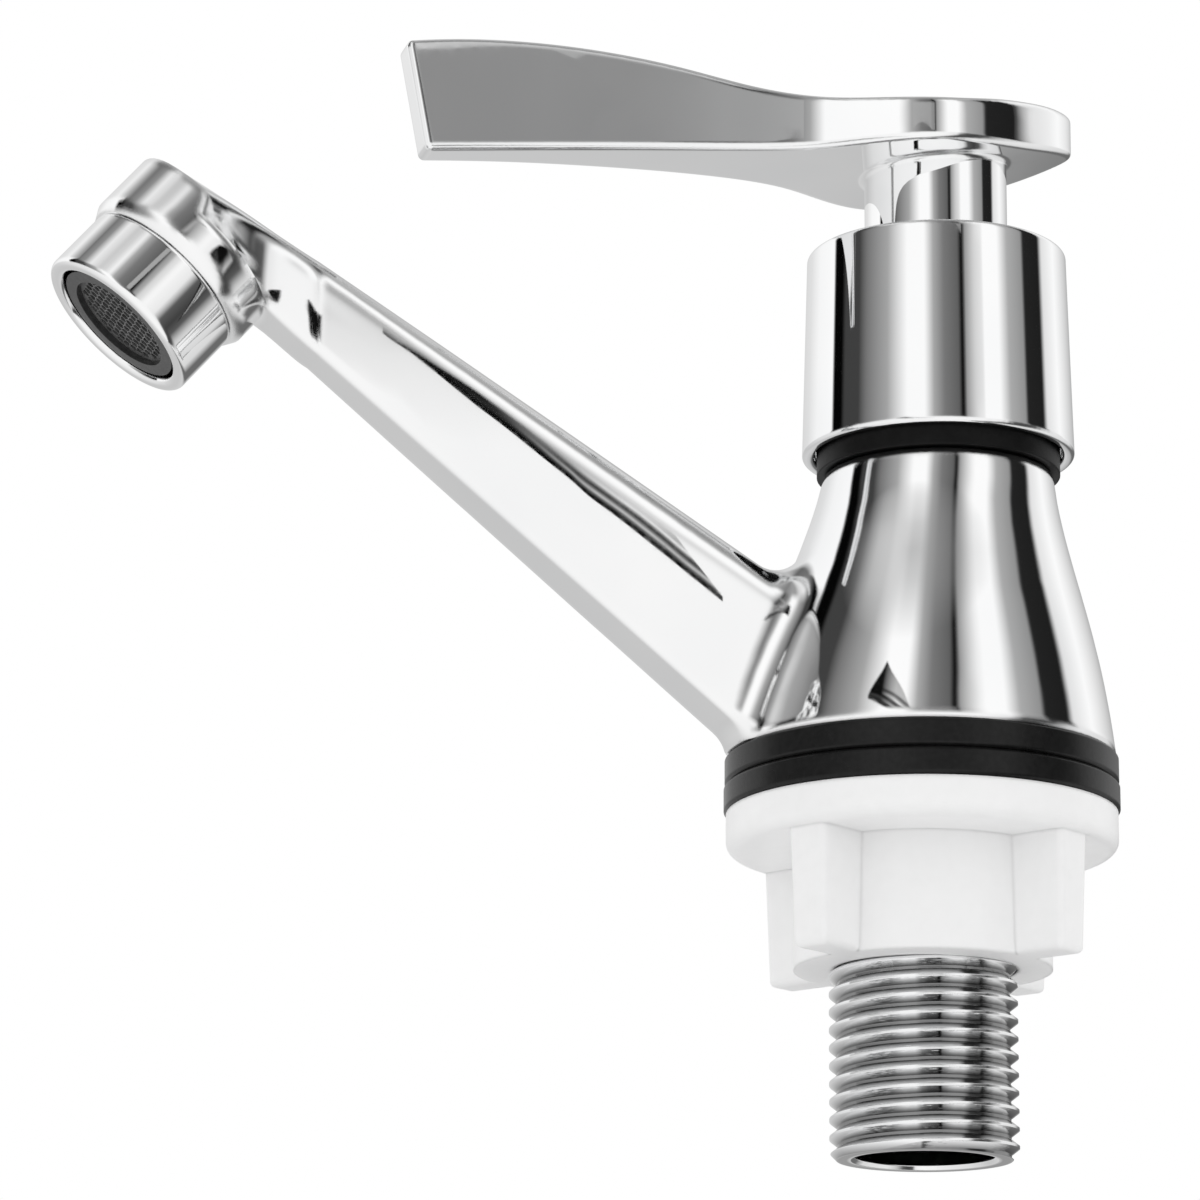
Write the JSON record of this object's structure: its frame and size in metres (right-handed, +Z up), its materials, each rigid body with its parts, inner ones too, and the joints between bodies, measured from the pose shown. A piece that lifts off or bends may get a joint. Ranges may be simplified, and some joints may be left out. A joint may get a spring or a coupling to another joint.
{
  "type": "basin tap",
  "caption": "Pillar basin tap: flared column, slim rising spout with an aerator, wavy quarter-turn lever, and a threaded tail clamped under the basin by a lugged back nut.",
  "frame": {"origin": "centre of the deck seat: the plane under the upper base ring, on the axis of the threaded tail", "axes": "+Z up along the tail's axis, the spout and the lever's blade point along -Y, X runs across the tap"},
  "size_m": [0.0444, 0.1225, 0.1249],
  "materials": {
    "chrome_body": "polished",
    "chrome_tail": "bright plated thread",
    "black_ring": "smooth, slightly glossy",
    "black_rubber": "smooth",
    "white_plastic": "moulded",
    "brass": "machined",
    "ceramic": "lapped",
    "pale_plastic": "moulded",
    "steel": "plain",
    "dark_plastic": "moulded"
  },
  "bodies": {
    "tap_body": {"body_casting": "chrome_body", "tail_shank": "chrome_tail", "base_ring": "black_ring", "headwork_body": "brass", "seat_seal": "black_rubber", "ceramic_disc_fixed": "ceramic", "thrust_washer": "pale_plastic", "bonnet_shroud": "chrome_body", "bonnet_seal_ring": "black_rubber", "aerator_housing": "chrome_body", "aerator_cage": "dark_plastic", "aerator_grid": "dark_plastic", "aerator_spray_disc": "pale_plastic", "aerator_strainer": "steel", "aerator_seal": "black_rubber"},
    "lever": {"lever_handle": "chrome_body", "handle_screw": "steel", "index_cap": "chrome_body", "spindle": "brass", "ceramic_disc_rotating": "ceramic", "circlip": "steel", "spindle_o_rings": "black_rubber"},
    "lower_washer": {"clamp_washer": "black_ring"},
    "nut": {"back_nut": "white_plastic"}
  },
  "joints": [
    {"name": "lever_turn", "type": "hinge", "parent": "tap_body", "child": "lever", "pos_m": [0, 0.0024, 0.0735], "axis": [0, 0, 1], "range_deg": [0, 90]},
    {"name": "washer_travel", "type": "slide", "parent": "tap_body", "child": "lower_washer", "axis": [0, 0, -1], "range_m": [0, 0.016]},
    {"name": "nut_turn", "type": "hinge", "parent": "lower_washer", "child": "nut", "pos_m": [0, 0, -0.012], "axis": [0, 0, -1], "range_deg": [0, 2880]}
  ],
  "couplings": [
    {"joint": "nut_turn", "follows": "washer_travel", "rad_per_m": 3141.6}
  ]
}
